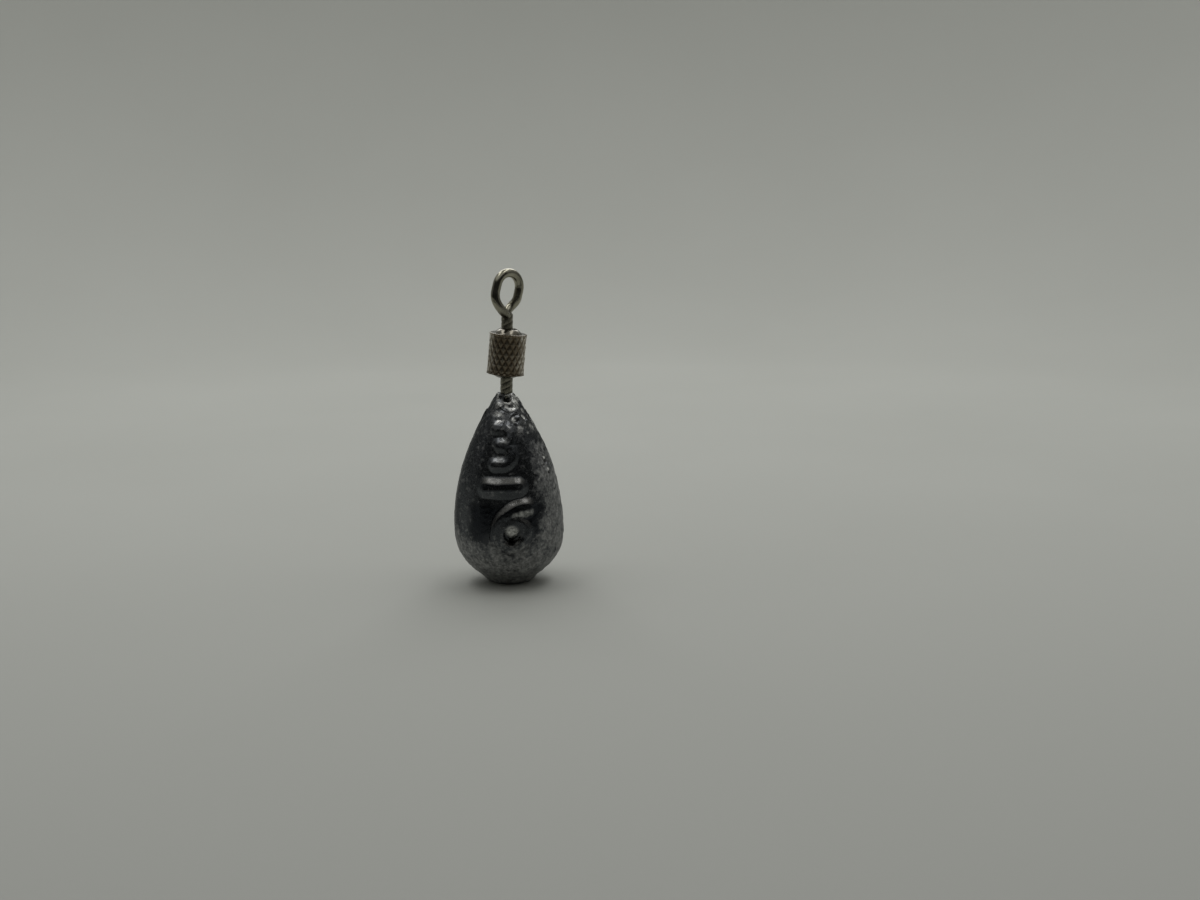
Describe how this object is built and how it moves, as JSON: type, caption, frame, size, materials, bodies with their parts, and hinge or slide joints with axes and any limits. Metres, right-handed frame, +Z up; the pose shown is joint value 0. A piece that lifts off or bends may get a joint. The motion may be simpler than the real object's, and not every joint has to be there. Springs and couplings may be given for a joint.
{
  "type": "fishing sinker",
  "caption": "Teardrop lead casting sinker with a raised weight mark and a knurled barrel swivel moulded into its nose, for tying to a fishing line.",
  "frame": {"origin": "centre of the flat foot under the bowl", "axes": "+Z up along the lead body's axis to the swivel, -Y out of the front with the raised weight mark"},
  "size_m": [0.0082, 0.0087, 0.0238],
  "materials": {
    "lead": "dull blue-grey cast lead with a mottled oxide bloom and smooth dark patches",
    "swivel_wire": "nickel-plated brass wire, polished and slightly warm",
    "swivel_barrel": "tarnished plated brass, knurled, with brighter crests and rolled ends"
  },
  "bodies": {
    "sinker": {"lead_body": "lead", "lower_eye": "swivel_wire"},
    "barrel": {"swivel_barrel": "swivel_barrel"},
    "eye": {"upper_eye": "swivel_wire"}
  },
  "joints": [
    {"name": "barrel_spin", "type": "hinge", "parent": "sinker", "child": "barrel", "pos_m": [0.00021, 0, 0.01748], "axis": [0.108, 0, 0.9942], "continuous": true},
    {"name": "eye_spin", "type": "hinge", "parent": "barrel", "child": "eye", "pos_m": [0.00021, 0, 0.01748], "axis": [0.0384, 0, 0.9993], "continuous": true}
  ]
}
